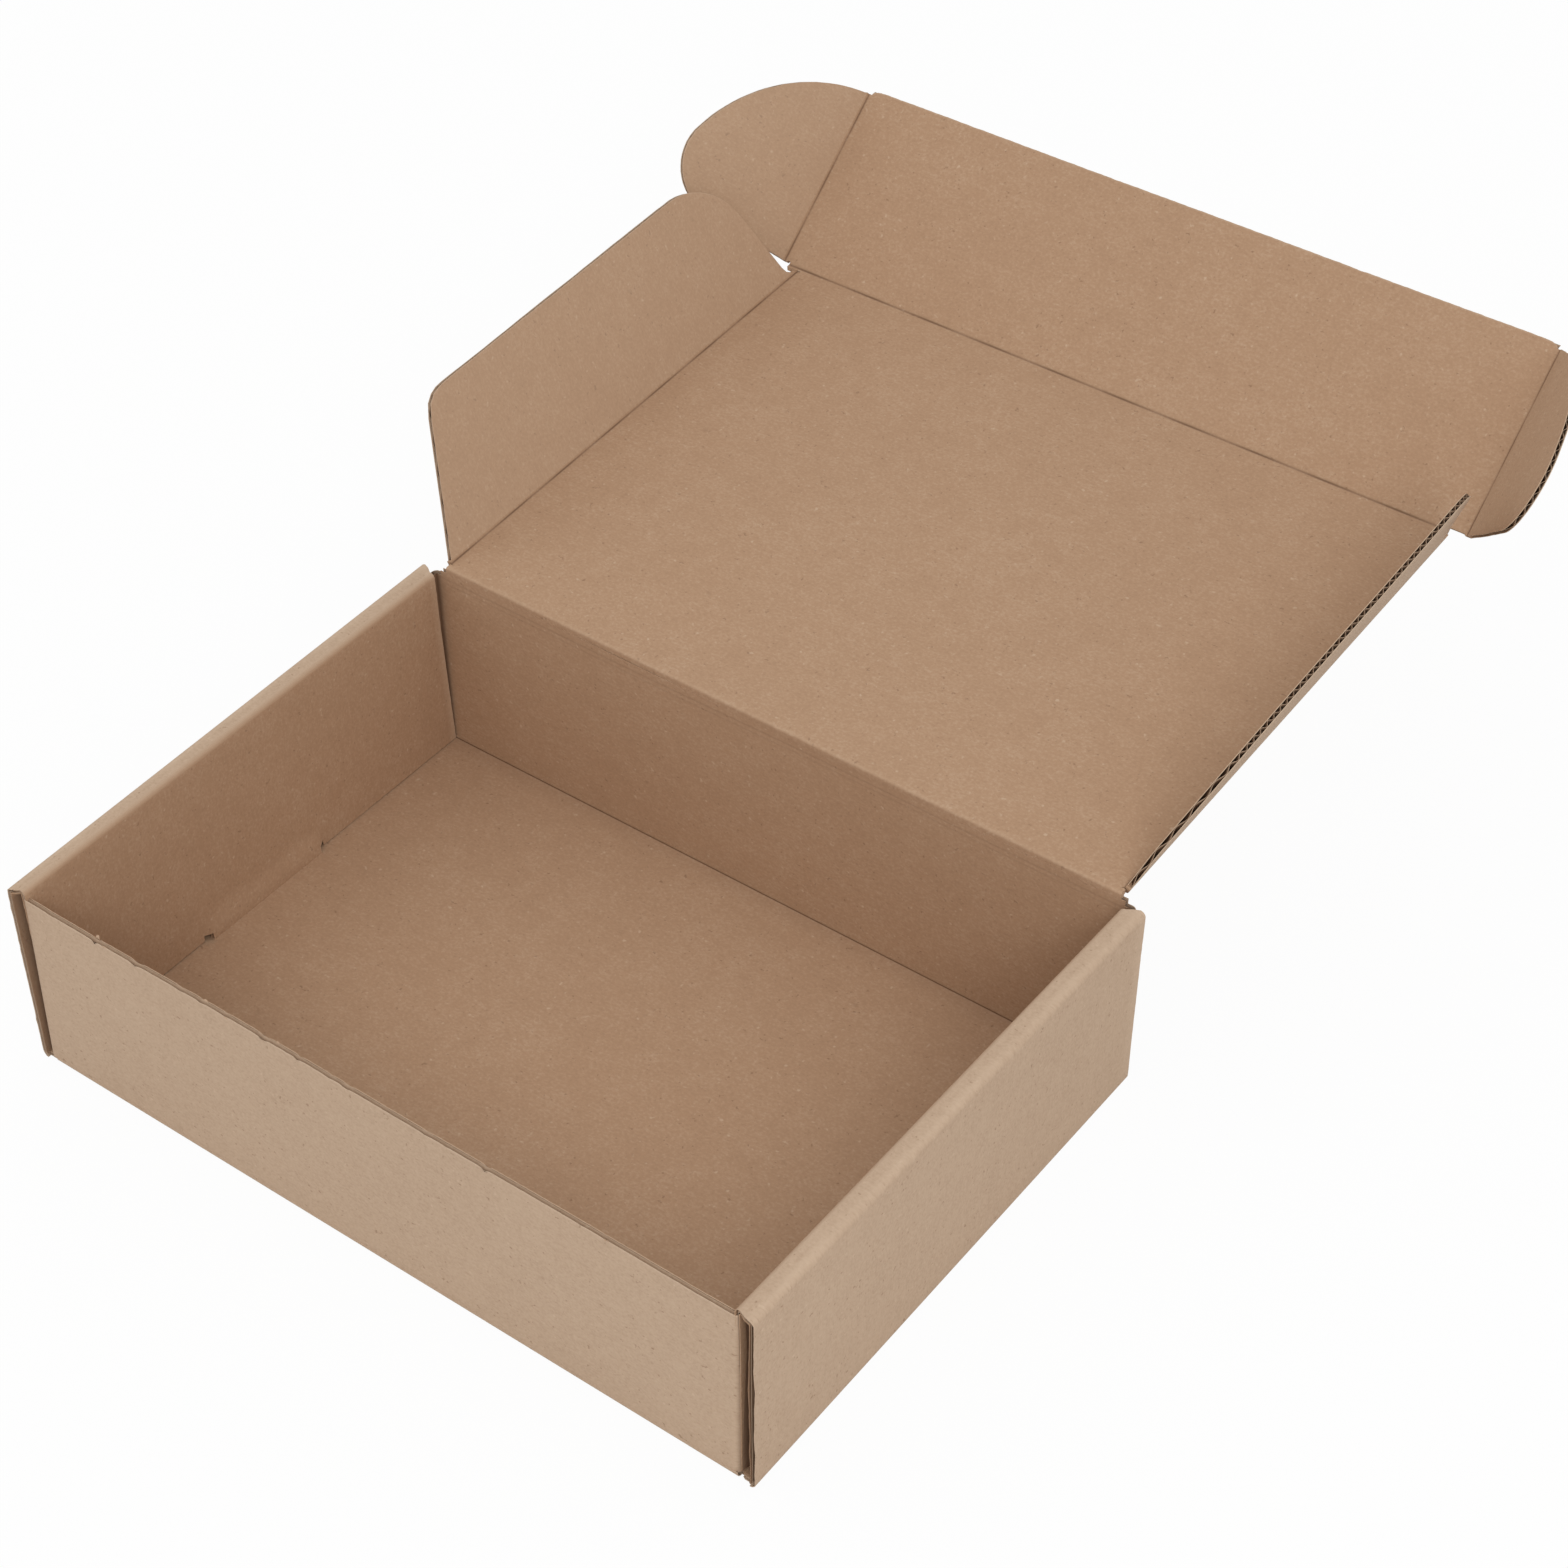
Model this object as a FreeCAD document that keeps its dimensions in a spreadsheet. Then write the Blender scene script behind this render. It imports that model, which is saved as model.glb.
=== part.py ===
import FreeCAD, Part
import math
import os
import Sketcher
from FreeCAD import Vector

# A one-piece folded mailer box of thin corrugated board, standing open.
# X runs to the right, Y to the rear, Z up. The origin is the middle of the base, on the table.

SIZES = [
    ("board", 1.5, "thickness of the corrugated board"),
    ("box_width", 242.0, "tray across the side walls, at the base"),
    ("box_depth", 165.0, "tray from front wall to rear wall, at the base"),
    ("wall_height", 63.0, "table to the top of the rolled side walls"),
    ("front_wall_height", 60.0, "table to the cut edge of the front wall"),
    ("roll_band", 6.6, "width of the flat band on top of a side wall"),
    ("band_drop", 1.3, "how far the outer shoulder falls below the band"),
    ("band_chamfer", 1.8, "width of the outer shoulder"),
    ("band_round", 0.6, "inner shoulder of the band"),
    ("side_lean", 1.2, "how far a side wall's top stands out past its foot"),
    ("front_lean", 1.2, "how far the front wall's top stands in"),
    ("rear_lean", 2.25, "how far the rear wall's top stands back"),
    ("fold_inside", 0.3, "inside radius of a fold"),
    ("ear_slot", 1.9, "room for a lock ear between side wall and corner flap"),
    ("corner_flap", 38.0, "length of the corner flaps held in the side walls"),
    ("band_play", 0.5, "room between the rear corner flaps and the band"),
    ("band_gap", 0.1, "room between inner side panel and corner flap"),
    ("foot_gap", 0.4, "room under the inner side panel"),
    ("panel_front", 1.3, "inner side panel's front end, back from the wall's face"),
    ("panel_rear", 1.9, "inner side panel's rear end, short of the wall's face"),
    ("tongue_inset", 0.9, "base corner tongue, back from the wall's face"),
    ("tongue_notch", 0.7, "cut between the base tongue and the end wall's fold"),
    ("tab_front", -24.0, "front end of the locking tab along Y"),
    ("tab_rear", 20.0, "rear end of the locking tab along Y"),
    ("tab_bulge", 1.4, "how far the tab's foot stands into the tray"),
    ("tab_rise", 11.0, "height at which the tab leaves the side panel"),
    ("tab_sole", 0.3, "tab's end above the table"),
    ("tab_play", 0.6, "room round the tab in its slot"),
    ("lid_rise", 1.0, "lid crease above the band"),
    ("crease_room", 1.3, "cut-back of a panel at its crease"),
    ("lid_angle", 3.5, "lid above level, lying back"),
    ("front_reach", 3.7, "closed front flap ahead of the front wall"),
    ("dust_play", 0.3, "room between a folded dust flap and the side wall"),
    ("dust_height", 45.5, "dust flap from crease to free edge"),
    ("dust_angle", 65.0, "dust flap up from the lid"),
    ("dust_near", 1.5, "dust flap's start along the lid"),
    ("dust_slant", 19.0, "run of the dust flap's near end"),
    ("dust_near_round", 9.0, "radius at the near corner"),
    ("dust_far", 5.5, "dust flap's end before the front crease"),
    ("dust_far_slant", 15.0, "run of the dust flap's far end"),
    ("dust_far_round", 26.0, "radius at the far corner"),
    ("flap_clearance", 2.3, "closed front flap above the table"),
    ("front_angle", 36.5, "front flap up from the lid"),
    ("ear_inset", 0.1, "ear crease inside the tray's width"),
    ("ear_width", 50.0, "lock ear out from its crease"),
    ("ear_low", 2.0, "ear's lower edge above the front crease"),
    ("ear_top_drop", 1.6, "ear's top below the flap's cut edge"),
    ("ear_low_round", 16.0, "radius at the ear's lower corner"),
    ("ear_high_round", 61.0, "radius at the ear's upper corner"),
    ("ear_angle", 58.0, "lock ear in from the front flap"),
    ("flute_pitch", 3.3, "distance from flute to flute"),
    ("flute_mouth", 2.64, "width of a flute's open end"),
    ("flute_depth", 0.95, "height of a flute's open end"),
    ("liner", 0.2, "paper on each face of the board"),
    ("crushed", 4.0, "board pressed flat beside a crease"),
]

FOLD_RUNS = 3

doc = FreeCAD.newDocument("mailer_box")
sheet = doc.addObject("Spreadsheet::Sheet", "Sizes")


class Size:
    """A length that knows its number and the formula that gives it in the sheet."""

    def __init__(self, value, formula):
        self.value = value
        self.formula = formula

    @staticmethod
    def of(other):
        return other if isinstance(other, Size) else Size(other, f"{other:.6g}")

    def combine(self, other, sign, value):
        return Size(value, f"({self.formula} {sign} {other.formula})")

    def __add__(self, other):
        other = Size.of(other)
        return self.combine(other, "+", self.value + other.value)

    def __sub__(self, other):
        other = Size.of(other)
        return self.combine(other, "-", self.value - other.value)

    def __mul__(self, other):
        other = Size.of(other)
        return self.combine(other, "*", self.value * other.value)

    def __truediv__(self, other):
        other = Size.of(other)
        return self.combine(other, "/", self.value / other.value)

    def __neg__(self):
        return Size(-self.value, f"(0 - {self.formula})")

    def root(self):
        return Size(math.sqrt(self.value), f"sqrt({self.formula})")


def fill_sheet():
    cells = {}
    for row, (name, value, note) in enumerate(SIZES, start=1):
        sheet.set(f"A{row}", str(value))
        sheet.setAlias(f"A{row}", name)
        sheet.set(f"B{row}", note)
        cells[name] = Size(value, f"Sizes.{name}")
    doc.recompute()
    return cells


size = fill_sheet()
board = size["board"]
half_board = board / 2
half_width = size["box_width"] / 2
half_depth = size["box_depth"] / 2
fold = board + size["fold_inside"]          # outside radius of a fold
zero = Size(0.0, "0")


def bind(thing, prop, amount):
    thing.setExpression(prop, amount.formula)


def origin_plane(body, role):
    return next(f for f in body.Origin.OriginFeatures if f.Role == role)


class Bend:
    """An arc from the outline's last corner to this one, turning left or right."""

    def __init__(self, radius, turn):
        self.radius = radius
        self.turn = turn


def bulge_point(start, end, radius, turn):
    """The middle of the arc from start to end that bulges away from its centre."""
    chord = end - start
    half = chord.Length / 2
    rise = radius - math.sqrt(max(radius * radius - half * half, 0.0))
    side = Vector(chord.y, -chord.x, 0).normalize()
    if turn == "right":
        side = side * -1
    return (start + end) * 0.5 + side * rise


def trace(sketch, corners):
    """Draws a closed outline: corners are (x, y) or (x, y, Bend), each tied to the sheet."""
    flat = [Vector(c[0].value, c[1].value, 0) for c in corners]
    first = sketch.GeometryCount
    ends = []
    for i, corner in enumerate(corners):
        start, end = flat[i - 1], flat[i]
        if len(corner) == 3:
            bend = corner[2]
            middle = bulge_point(start, end, bend.radius.value, bend.turn)
            geometry = sketch.addGeometry(Part.Arc(start, middle, end), False)
            ends.append((1, 2) if bend.turn == "left" else (2, 1))
        else:
            geometry = sketch.addGeometry(Part.LineSegment(start, end), False)
            ends.append((1, 2))
    for i, corner in enumerate(corners):
        geometry = first + i
        following = first + (i + 1) % len(corners)
        tail = ends[i][1]
        head = ends[(i + 1) % len(corners)][0]
        sketch.addConstraint(Sketcher.Constraint("Coincident", geometry, tail, following, head))
        for kind, amount in (("DistanceX", corner[0]), ("DistanceY", corner[1])):
            rule = Sketcher.Constraint(kind, -1, 1, geometry, tail, amount.value)
            index = sketch.addConstraint(rule)
            sketch.setExpression(f"Constraints[{index}]", amount.formula)
        if len(corner) == 3:
            rule = Sketcher.Constraint("Radius", geometry, corner[2].radius.value)
            index = sketch.addConstraint(rule)
            sketch.setExpression(f"Constraints[{index}]", corner[2].radius.formula)


def outline(body, name, role, corners, lift=None):
    sketch = body.newObject("Sketcher::SketchObject", name)
    sketch.AttachmentSupport = [(origin_plane(body, role), "")]
    sketch.MapMode = "FlatFace"
    if lift is not None:
        sketch.setExpression("AttachmentOffset.Base.z", lift.formula)
    trace(sketch, corners)
    return sketch


def box_corners(left, right, low, high):
    return [(left, low), (right, low), (right, high), (left, high)]


def pad(body, name, sketch, length, symmetric=False):
    feature = body.newObject("PartDesign::Pad", name)
    feature.Profile = sketch
    bind(feature, "Length", length)
    if symmetric:
        feature.SideType = "Symmetric"
    body.Tip = feature
    return feature


def mirror(body, name, originals):
    feature = body.newObject("PartDesign::Mirrored", name)
    feature.Originals = originals
    feature.MirrorPlane = (origin_plane(body, "YZ_Plane"), [""])
    body.Tip = feature
    return feature


# How far out the faces of the leaning walls stand at a given height.
def side_face(height):
    return half_width + size["side_lean"] * height / size["wall_height"]


def corner_flap_face(height):
    return side_face(height) - board - size["ear_slot"]


def front_face(height):
    return half_depth - size["front_lean"] * height / size["front_wall_height"]


crease_height = size["wall_height"] + size["lid_rise"]
crease_back = half_depth - half_board + size["rear_lean"]


def rear_face(height):
    return half_depth + size["rear_lean"] * height / crease_height


def side_wall_section():
    """Outer panel, band and inner panel of the right side wall, seen from the front."""
    low, top = fold, size["wall_height"]
    shoulder = top - size["band_drop"]
    outer_top = side_face(top)
    inner_top = outer_top - size["roll_band"]
    inner_foot = half_width - size["roll_band"]
    round_in = size["band_round"]
    foot = board + size["foot_gap"]
    under = top - board
    turn = Bend(fold, "left")
    back = Bend(size["fold_inside"], "right")
    return [
        (half_width - fold, zero),
        (half_width, low, turn),
        (outer_top, shoulder),
        (outer_top - size["band_chamfer"], top),
        (inner_top + round_in, top),
        (inner_top, top - round_in),
        (inner_foot, foot),
        (inner_foot + board, foot),
        (inner_top + board, under),
        (outer_top - board, under),
        (half_width - board, low),
        (half_width - fold, board, back),
    ]


def quarter_fold(x, y, radius, along):
    """A fold in short straight runs, from the wall's face round to the corner flap's."""
    angles = [math.radians(90 * step / FOLD_RUNS) for step in range(FOLD_RUNS + 1)]
    return [(x + radius * math.sin(a), y + radius * (math.cos(a) * along)) for a in angles]


def end_wall_section(height, face, sign):
    """The end wall with a corner flap folded back at each end, seen from above."""
    out = corner_flap_face(height)
    skin = face(height) * sign
    bend_start = skin - fold * sign
    tip = skin - (fold + size["corner_flap"]) * sign
    right = quarter_fold(out - fold, bend_start, fold, sign) + [
        (out, tip),
        (out - board, tip),
        (out - board, bend_start),
        (out - fold, skin - board * sign),
    ]
    return right + [(-x, y) for x, y in reversed(right)]


def trim_panel(body, name, cut, sign):
    """Cuts the inner side panel's end back, with a slant across the band above it."""
    skin = half_depth * sign
    stop = (half_depth - cut) * sign
    panel = side_face(size["wall_height"]) - size["roll_band"] + board + size["band_gap"]
    clear = half_width - size["roll_band"] - board
    shape = outline(body, f"{name}_outline", "XY_Plane",
                    [(clear, skin), (clear, stop), (panel, stop), (panel + cut, skin)],
                    board + size["foot_gap"] / 2)
    pocket = body.newObject("PartDesign::Pocket", name)
    pocket.Profile = shape
    bind(pocket, "Length", size["wall_height"])
    pocket.Reversed = True
    body.Tip = pocket
    mirror(body, f"{name}_other", [pocket])


def end_wall(body, name, face, sign, top):
    """Fold at the base, then the leaning wall with its two corner flaps."""
    edge = (half_depth - fold) * sign
    turn = ("right", "left") if sign < 0 else ("left", "right")
    ring = [
        (edge, zero),
        (half_depth * sign, fold, Bend(fold, turn[0])),
        ((half_depth - board) * sign, fold),
        (edge, board, Bend(size["fold_inside"], turn[1])),
    ]
    bend = outline(body, f"{name}_fold_outline", "YZ_Plane", ring)
    pad(body, f"{name}_fold", bend, (corner_flap_face(fold) - fold) * 2, symmetric=True)
    low = outline(body, f"{name}_foot", "XY_Plane", end_wall_section(fold, face, sign), fold)
    high = outline(body, f"{name}_edge", "XY_Plane", end_wall_section(top, face, sign), top)
    wall = body.newObject("PartDesign::AdditiveLoft", name)
    wall.Profile = low
    wall.Sections = [high]
    wall.Ruled = True
    body.Tip = wall


def base_tongue(body, name, sign):
    """The base's corner that closes the foot of the ear slot."""
    near = (half_depth - fold) * sign
    far = (half_depth - size["tongue_inset"]) * sign
    left = corner_flap_face(zero) - fold + size["tongue_notch"]
    low, high = (far, near) if sign < 0 else (near, far)
    tongue = outline(body, f"{name}_outline", "XY_Plane",
                     box_corners(left, half_width - fold, low, high))
    solid = pad(body, name, tongue, board)
    mirror(body, f"{name}_other", [solid])


def locking_tab(body):
    """Slot in the base and the bulged tab of the inner side panel that stands in it."""
    inner = half_width - size["roll_band"]
    foot_in = inner - size["tab_bulge"]
    play = size["tab_play"]
    slot = outline(body, "tab_slot_outline", "XY_Plane",
                   box_corners(foot_in - play, inner + board, size["tab_front"] - play,
                               size["tab_rear"] + play))
    cut = body.newObject("PartDesign::Pocket", "tab_slot")
    cut.Profile = slot
    bind(cut, "Length", board)
    cut.Reversed = True
    body.Tip = cut
    mirror(body, "tab_slot_other", [cut])
    foot = board + size["foot_gap"]
    tab = outline(body, "tab_outline", "XZ_Plane", [
        (foot_in, size["tab_sole"]),
        (foot_in + board, size["tab_sole"]),
        (foot_in + board, foot),
        (inner + half_board, size["tab_rise"]),
        (foot_in, foot),
    ], -size["tab_rear"])
    solid = pad(body, "tab", tab, size["tab_rear"] - size["tab_front"])
    mirror(body, "tab_other", [solid])


def make_tray():
    body = doc.addObject("PartDesign::Body", "tray")
    flat_x, flat_y = half_width - fold, half_depth - fold
    plate = outline(body, "base_outline", "XY_Plane", box_corners(-flat_x, flat_x, -flat_y, flat_y))
    pad(body, "base", plate, board)
    section = outline(body, "side_wall_outline", "XZ_Plane", side_wall_section())
    wall = pad(body, "side_wall", section, size["box_depth"], symmetric=True)
    mirror(body, "side_wall_other", [wall])
    trim_panel(body, "front_trim", size["panel_front"], -1)
    trim_panel(body, "rear_trim", size["panel_rear"], 1)
    end_wall(body, "front_wall", front_face, -1, size["front_wall_height"])
    rear_top = size["wall_height"] - board - size["band_play"]
    end_wall(body, "rear_wall", rear_face, 1, rear_top)
    crest = crease_height - size["crease_room"]
    strip = outline(body, "rear_crest_outline", "YZ_Plane", [
        (rear_face(rear_top) - board, rear_top),
        (rear_face(rear_top), rear_top),
        (rear_face(crest), crest),
        (rear_face(crest) - board, crest),
    ])
    pad(body, "rear_crest", strip, (dust_crease - size["crease_room"]) * 2, symmetric=True)
    base_tongue(body, "front_tongue", -1)
    base_tongue(body, "rear_tongue", 1)
    locking_tab(body)
    return body


def crease_nose(body, name, start, length, along):
    """The rounded end of a panel, centred on its crease."""
    nose = body.newObject("PartDesign::AdditiveCylinder", name)
    bind(nose, "Radius", half_board)
    bind(nose, "Height", length)
    nose.AttachmentSupport = [(origin_plane(body, "XY_Plane"), "")]
    nose.MapMode = "FlatFace"
    if along == "x":
        turn = FreeCAD.Rotation(Vector(0, 1, 0), 90)
        axis = "x"
    else:
        turn = FreeCAD.Rotation(Vector(1, 0, 0), -90)
        axis = "y"
    nose.AttachmentOffset = FreeCAD.Placement(Vector(), turn)
    nose.setExpression(f"AttachmentOffset.Base.{axis}", start.formula)
    body.Tip = nose


lid_length = crease_back + half_depth + size["front_reach"]
dust_crease = side_face(size["wall_height"]) - size["roll_band"] - size["dust_play"] - half_board
ear_crease = half_width - size["ear_inset"]
flap_height = crease_height - size["flap_clearance"]


def turned(place, axis, angle):
    spot = "; ".join(amount.formula for amount in place)
    return f"placement(vector({spot}); rotation(vector({axis}); {angle.formula}))"


lid_frame = turned((zero, crease_back, crease_height), "1; 0; 0", size["lid_angle"])
flap_frame = lid_frame + " * " + turned((zero, lid_length, zero), "1; 0; 0", size["front_angle"])


def make_lid():
    body = doc.addObject("PartDesign::Body", "lid_panel")
    half = dust_crease - size["crease_room"]
    far = lid_length - size["crease_room"]
    sheet_outline = outline(body, "lid_outline", "XY_Plane", box_corners(-half, half, zero, far))
    pad(body, "lid_sheet", sheet_outline, board, symmetric=True)
    crease_nose(body, "lid_crease", -half, half * 2, "x")
    body.setExpression("Placement", lid_frame)
    return body


def make_front_flap():
    body = doc.addObject("PartDesign::Body", "front_flap")
    half = ear_crease - size["crease_room"]
    sheet_outline = outline(body, "flap_outline", "XY_Plane",
                            box_corners(-half, half, zero, flap_height))
    pad(body, "flap_sheet", sheet_outline, board, symmetric=True)
    crease_nose(body, "flap_crease", -half, half * 2, "x")
    body.setExpression("Placement", flap_frame)
    return body


def between(start, end):
    """Unit direction from start to end, and the distance."""
    dx, dy = end[0] - start[0], end[1] - start[1]
    length = (dx * dx + dy * dy).root()
    return dx / length, dy / length, length


def rounded(before, corner, after, radius, turn):
    """The two ends of a round that blends the corner into both its edges."""
    ax, ay, _ = between(corner, before)
    bx, by, _ = between(corner, after)
    cosine = ax * bx + ay * by
    back = radius * ((cosine + 1) / (-cosine + 1)).root()
    return [
        (corner[0] + ax * back, corner[1] + ay * back),
        (corner[0] + bx * back, corner[1] + by * back, Bend(radius, turn)),
    ]


def dust_flap_outline(side):
    """Straight free edge, slanted ends and two rounded corners."""
    free = size["dust_height"] * side
    near, far = size["dust_near"], lid_length - size["dust_far"]
    turn = "left" if side > 0 else "right"
    corners = [(zero, near), (free, near + size["dust_slant"]),
               (free, far - size["dust_far_slant"]), (zero, far)]
    return (
        [corners[0]]
        + rounded(*corners[0:3], size["dust_near_round"], turn)
        + rounded(*corners[1:4], size["dust_far_round"], turn)
        + [corners[3]]
    )


def ear_outline(side):
    """A straight lower edge, a small round and a large one that ends at the flap's edge."""
    low, high = size["ear_low"], flap_height - size["ear_top_drop"]
    small, large = size["ear_low_round"], size["ear_high_round"]
    heel = (size["ear_width"] - small, low + small)     # centre of the small round
    along_x, along_y, gap = between(heel, (zero, high))
    inner = large - small
    run = (inner * inner - large * large + gap * gap) / (gap * 2)
    rise = (inner * inner - run * run).root()
    middle = (heel[0] + along_x * run - along_y * rise, heel[1] + along_y * run + along_x * rise)
    out_x, out_y, _ = between(middle, heel)
    turn = "left" if side > 0 else "right"
    return [
        (zero, low),
        (heel[0] * side, low),
        ((heel[0] + out_x * small) * side, heel[1] + out_y * small, Bend(small, turn)),
        (zero, high, Bend(large, turn)),
    ]


def cut_flutes(body, side, along_start, along_end, reach):
    """Open flutes of the board, from the pressed strip at the crease out to the cut edge."""
    pitch, mouth = size["flute_pitch"], size["flute_mouth"]
    roof = half_board - size["liner"]
    floor = roof - size["flute_depth"]
    first = along_start + pitch
    second = first + pitch / 2
    valleys = outline(body, "flute_outline", "YZ_Plane", [
        (first - mouth / 2, roof),
        (first, floor),
        (first + mouth / 2, roof),
    ], size["crushed"] * side)
    trace(valleys, [
        (second - mouth / 2, -roof),
        (second + mouth / 2, -roof),
        (second, -floor),
    ])
    flute = body.newObject("PartDesign::Pocket", "flute")
    flute.Profile = valleys
    bind(flute, "Length", reach)
    flute.Reversed = side > 0
    row = body.newObject("PartDesign::LinearPattern", "flutes")
    row.Originals = [flute]
    row.Direction = (valleys, ["H_Axis"])
    row.Mode = "Spacing"
    bind(row, "Offset", pitch)
    span = along_end - along_start - pitch * 2
    row.setExpression("Occurrences", f"floor({span.formula} / {pitch.formula})")
    body.Tip = row


def make_side_flap(name, side, corners, start, end, width, frame, crease, angle):
    body = doc.addObject("PartDesign::Body", name)
    shape = outline(body, f"{name}_outline", "XY_Plane", corners)
    pad(body, f"{name}_sheet", shape, board, symmetric=True)
    crease_nose(body, f"{name}_crease", start, end - start, "y")
    cut_flutes(body, side, start, end, width)
    swing = turned((crease * side, zero, zero), "0; 1; 0", angle * -side)
    body.setExpression("Placement", f"{frame} * {swing}")
    return body


def make_parts():
    parts = [make_tray(), make_lid(), make_front_flap()]
    for word, side in (("left", -1), ("right", 1)):
        parts.append(make_side_flap(
            f"dust_flap_{word}", side, dust_flap_outline(side), size["dust_near"],
            lid_length - size["dust_far"], size["dust_height"], lid_frame, dust_crease,
            size["dust_angle"]))
        parts.append(make_side_flap(
            f"lock_ear_{word}", side, ear_outline(side), size["ear_low"],
            flap_height - size["ear_top_drop"], size["ear_width"], flap_frame, ear_crease,
            size["ear_angle"]))
    return parts


def check_and_write(parts):
    doc.recompute()
    for thing in doc.Objects:
        if "Invalid" in thing.State or "Error" in thing.State:
            raise RuntimeError(f"{thing.Name} failed: {thing.State}")
    os.makedirs("parts", exist_ok=True)
    for part in parts:
        shape = part.Shape
        if shape.isNull() or not shape.isValid() or len(shape.Solids) != 1:
            raise RuntimeError(f"{part.Label} isn't one valid solid")
        shape.exportStep(os.path.join("parts", f"{part.Label}.step"))
        print(f"{part.Label}: {shape.Volume:.0f} mm3")


check_and_write(make_parts())
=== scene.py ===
import bpy, bmesh, math
import numpy as np
from mathutils import Matrix, Vector


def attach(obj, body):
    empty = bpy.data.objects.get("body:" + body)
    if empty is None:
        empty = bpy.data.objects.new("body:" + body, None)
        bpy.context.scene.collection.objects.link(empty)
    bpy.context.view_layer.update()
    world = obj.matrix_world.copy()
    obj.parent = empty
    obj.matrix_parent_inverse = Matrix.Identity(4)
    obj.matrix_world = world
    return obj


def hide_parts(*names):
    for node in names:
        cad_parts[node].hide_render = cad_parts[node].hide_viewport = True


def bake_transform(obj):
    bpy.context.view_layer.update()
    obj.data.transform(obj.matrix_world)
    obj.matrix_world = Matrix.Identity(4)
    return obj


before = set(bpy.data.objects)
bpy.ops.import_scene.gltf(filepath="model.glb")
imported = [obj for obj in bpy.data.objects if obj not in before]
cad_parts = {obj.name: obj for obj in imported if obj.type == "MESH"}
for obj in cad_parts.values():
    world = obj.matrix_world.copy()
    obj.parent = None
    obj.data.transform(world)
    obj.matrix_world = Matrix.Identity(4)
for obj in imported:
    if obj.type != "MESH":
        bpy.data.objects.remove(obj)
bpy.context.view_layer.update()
print("frame loaded:", sorted(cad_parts))

# All lengths are in millimetres until a mesh is made. Inside faces have a positive height.
mm = 0.001

board = {
    "thick": 1.5,
    "liner": 0.2,
    "medium": 0.12,
    "pitch": 3.3,            # flute to flute
    "wave": 0.46,            # half the flute's height
    "fluteStrip": 11.0,      # how deep the flutes are built behind a cut edge
    "ragged": 0.07,          # uneven cut of each liner
    "rim": 0.35,             # how much lighter a cut rim is
}

tray = {
    "halfWidth": 121.0,
    "halfDepth": 82.5,
    "wallHeight": 63.0,
    "frontHeight": 60.0,
    "rearHeight": 61.0,
    "crestHeight": 62.7,
    "crestHalf": 114.4,
    "rollBand": 6.6,
    "fold": 1.8,             # outside radius of a sharp fold
    "baseFold": 1.95,        # what the folds at the end walls' feet take from the flat sheet
    "bandFold": 1.65,
    "slot": 1.9,
    "cornerFlap": 38.0,
    "sideLean": {-1: (-0.3, 2.3), 1: (1.1, 1.5)},   # left and right wall, front and rear end
    "panelLean": {-1: (1.05, 2.3), 1: (1.1, 1.5)},  # the same for their inner panels
    "frontLean": 1.2,
    "frontShift": 1.1,
    "frontShrink": 0.5,
    "rearLean": 2.25,
    "panelFront": -81.2,
    "panelRear": 80.6,
    "panelFoot": 1.9,
    "tab": (-24.0, 20.0),
    "tabBulge": 1.4,
    "tabRise": 11.0,
    "tabSole": 0.3,
}

lid = {
    "hinge": (84.0, 64.0),   # y and z of the crease
    "angle": 3.5,
    "length": 170.2,
    "dustCrease": 114.55,
    "creaseRoom": 1.3,
    "bow": 0.5,
}

dustFlap = {
    "height": 45.5,
    "near": 1.5,
    "slant": 19.0,
    "nearRound": 9.0,
    "far": 5.5,
    "toe": (3.2, 1.9),       # how high the toe at the crease is, and how near the front flap it comes
    "farSlant": 15.0,
    "farRound": 26.0,
    "toeRound": 0.4,
    "angle": {-1: (65.0, 65.0), 1: (64.8, 68.0)},   # at the hinge end and at the far end
    "pale": {-1: 0.2, 1: 0.2},      # painted light: how much lighter the inside face is made
}

frontFlap = {"height": 61.7, "angle": 40.0, "earCrease": 120.9, "cornerRound": 4.5}

ear = {
    "width": 47.0,
    "low": 0.9,
    "high": 60.1,
    "lowRound": 16.0,
    "highRound": 58.0,
    "angle": 58.0,
    "curl": {-1: 0.0016, 1: 0.0},   # the left one bends back towards its tip
    # painted light: how much lighter each ear's inside face is made
    "pale": {-1: 0.2, 1: 0.1},
}


def smooth(x):
    x = np.clip(x, 0.0, 1.0)
    return x * x * (3 - 2 * x)


def drift(u, v, seed):       # slow unevenness between -1 and 1
    a = np.sin(u / 31 + seed * 1.7) * np.cos(v / 43 + seed * 2.3)
    b = np.sin(u / 17 - v / 23 + seed * 0.9)
    return 0.65 * a + 0.35 * b


def raggedEdge(along, seed):  # the knife's uneven line
    a = np.sin(along * 1.9 + seed) + np.sin(along * 4.7 + seed * 3.1) * 0.6
    torn = np.maximum(0, np.sin(along * 0.37 + seed * 2) * np.sin(along * 0.23 + seed) - 0.72)
    torn = torn * np.sin(along * 3.1)
    return (a + np.sin(along * 11.3 + seed * 5.7) * 0.4) * 0.5 - np.abs(torn) * 9


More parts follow.
